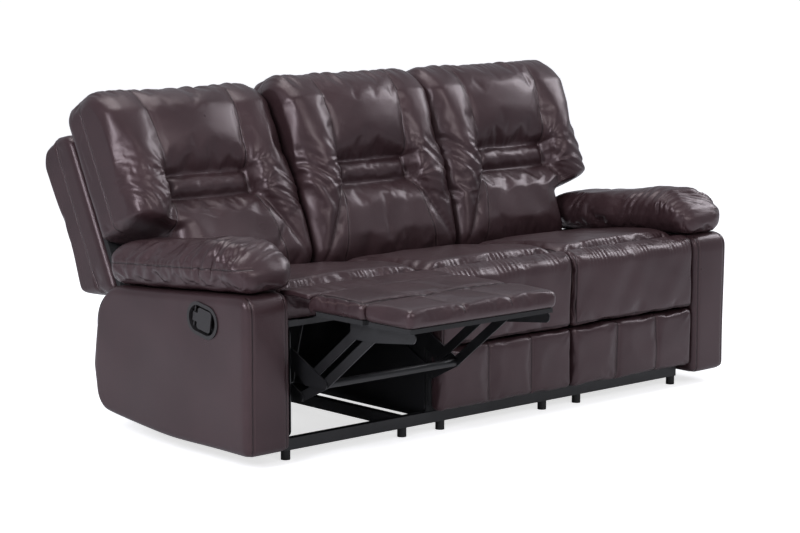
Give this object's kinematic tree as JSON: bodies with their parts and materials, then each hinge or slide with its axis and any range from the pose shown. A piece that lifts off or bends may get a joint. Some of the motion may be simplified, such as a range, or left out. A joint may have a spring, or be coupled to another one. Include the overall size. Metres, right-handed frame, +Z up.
{
  "type": "reclining sofa",
  "caption": "Faux-leather sofa with a reclining back, a pull lever and a swing-out footrest at either end, on a black steel base frame.",
  "frame": {"origin": "on the floor, under the middle of the whole sofa as stored, with the left footrest out", "axes": "+X to the right of someone who looks at the front, -Y towards the front, +Z up"},
  "size_m": [1.92, 1.5288, 0.9779],
  "materials": {
    "leather": "glossy dark brown faux leather",
    "black_steel": "satin black powder coat",
    "timber": "raw plywood",
    "webbing": "woven elastic webbing",
    "black_plastic": "satin black moulding",
    "glide_plastic": "matt black"
  },
  "bodies": {
    "sofa_base": {"front_rail": "black_steel", "rear_rail": "black_steel", "side_rails": "black_steel", "floor_glides": "glide_plastic", "middle_base_box": "timber", "middle_front_board": "timber", "middle_upper_panel": "leather", "middle_lower_panel": "leather", "middle_seat_frame": "black_steel", "middle_seat_straps": "webbing", "middle_seat_cushion": "leather", "middle_back_frame": "timber", "middle_back_shell": "leather", "middle_back_cushion": "leather", "left_seat_frame": "black_steel", "left_seat_straps": "webbing", "left_seat_cushion": "leather", "left_side_plates": "black_steel", "left_arm_frame": "timber", "left_arm_cover": "leather", "left_arm_pad": "leather", "left_lever_bezel": "black_plastic", "right_seat_frame": "black_steel", "right_seat_straps": "webbing", "right_seat_cushion": "leather", "right_side_plates": "black_steel", "right_arm_frame": "timber", "right_arm_cover": "leather", "right_arm_pad": "leather", "right_lever_bezel": "black_plastic"},
    "left_drive": {"left_rear_links": "black_steel", "left_torque_tube": "black_steel"},
    "left_steady": {"left_steady_links": "black_steel"},
    "left_front": {"left_front_links": "black_steel"},
    "left_control": {"left_control_links": "black_steel"},
    "left_footrest": {"left_footrest_brackets": "black_steel", "left_flap_board": "timber", "left_flap_pad": "leather", "left_footrest_board": "timber", "left_footrest_pad": "leather"},
    "left_back": {"left_back_frame": "timber", "left_back_shell": "leather", "left_back_cushion": "leather"},
    "left_lever": {"left_lever_paddle": "black_plastic"},
    "right_drive": {"right_rear_links": "black_steel", "right_torque_tube": "black_steel"},
    "right_steady": {"right_steady_links": "black_steel"},
    "right_front": {"right_front_links": "black_steel"},
    "right_control": {"right_control_links": "black_steel"},
    "right_footrest": {"right_footrest_brackets": "black_steel", "right_flap_board": "timber", "right_flap_pad": "leather", "right_footrest_board": "timber", "right_footrest_pad": "leather"},
    "right_back": {"right_back_frame": "timber", "right_back_shell": "leather", "right_back_cushion": "leather"},
    "right_lever": {"right_lever_paddle": "black_plastic"}
  },
  "joints": [
    {"name": "left_footrest_swing", "type": "hinge", "parent": "sofa_base", "child": "left_drive", "pos_m": [-0.5115, -0.135, 0.342], "axis": [-1, 0, 0], "range_deg": [-90, 0]},
    {"name": "left_steady_pivot", "type": "hinge", "parent": "sofa_base", "child": "left_steady", "pos_m": [-0.5115, -0.036, 0.294], "axis": [-1, 0, 0], "range_deg": [-90, 0]},
    {"name": "left_front_pivot", "type": "hinge", "parent": "left_drive", "child": "left_front", "pos_m": [-0.5115, -0.378, 0.222], "axis": [-1, 0, 0], "range_deg": [0, 90]},
    {"name": "left_control_pivot", "type": "hinge", "parent": "left_drive", "child": "left_control", "pos_m": [-0.5115, -0.306, 0.222], "axis": [-1, 0, 0], "range_deg": [0, 90]},
    {"name": "left_footrest_pivot", "type": "hinge", "parent": "left_front", "child": "left_footrest", "pos_m": [-0.5115, -0.5755, 0.3775], "axis": [-1, 0, 0], "range_deg": [-90, 0]},
    {"name": "left_back_recline", "type": "hinge", "parent": "sofa_base", "child": "left_back", "pos_m": [-0.5115, 0.3, 0.33], "axis": [-1, 0, 0], "range_deg": [-7, 21]},
    {"name": "left_lever_pull", "type": "hinge", "parent": "sofa_base", "child": "left_lever", "pos_m": [-0.943, -0.0742, 0.3916], "axis": [0, 0.1736, -0.9848], "range_deg": [0, 25], "stiffness_Nm_per_rad": 0.3},
    {"name": "right_footrest_swing", "type": "hinge", "parent": "sofa_base", "child": "right_drive", "pos_m": [0.5115, -0.135, 0.342], "axis": [-1, 0, 0], "range_deg": [0, 90]},
    {"name": "right_steady_pivot", "type": "hinge", "parent": "sofa_base", "child": "right_steady", "pos_m": [0.5115, -0.036, 0.294], "axis": [-1, 0, 0], "range_deg": [0, 90]},
    {"name": "right_front_pivot", "type": "hinge", "parent": "right_drive", "child": "right_front", "pos_m": [0.5115, -0.015, 0.099], "axis": [-1, 0, 0], "range_deg": [-90, 0]},
    {"name": "right_control_pivot", "type": "hinge", "parent": "right_drive", "child": "right_control", "pos_m": [0.5115, -0.015, 0.171], "axis": [-1, 0, 0], "range_deg": [-90, 0]},
    {"name": "right_footrest_pivot", "type": "hinge", "parent": "right_front", "child": "right_footrest", "pos_m": [0.5115, -0.2125, 0.2545], "axis": [-1, 0, 0], "range_deg": [0, 90]},
    {"name": "right_back_recline", "type": "hinge", "parent": "sofa_base", "child": "right_back", "pos_m": [0.5115, 0.3, 0.33], "axis": [-1, 0, 0], "range_deg": [0, 28]},
    {"name": "right_lever_pull", "type": "hinge", "parent": "sofa_base", "child": "right_lever", "pos_m": [0.943, -0.0742, 0.3916], "axis": [0, -0.1736, 0.9848], "range_deg": [0, 25], "stiffness_Nm_per_rad": 0.3}
  ],
  "couplings": [
    {"joint": "left_steady_pivot", "follows": "left_footrest_swing", "ratio": 1},
    {"joint": "left_front_pivot", "follows": "left_footrest_swing", "ratio": -1},
    {"joint": "left_control_pivot", "follows": "left_footrest_swing", "ratio": -1},
    {"joint": "left_footrest_pivot", "follows": "left_footrest_swing", "ratio": 1},
    {"joint": "right_steady_pivot", "follows": "right_footrest_swing", "ratio": 1},
    {"joint": "right_front_pivot", "follows": "right_footrest_swing", "ratio": -1},
    {"joint": "right_control_pivot", "follows": "right_footrest_swing", "ratio": -1},
    {"joint": "right_footrest_pivot", "follows": "right_footrest_swing", "ratio": 1}
  ]
}
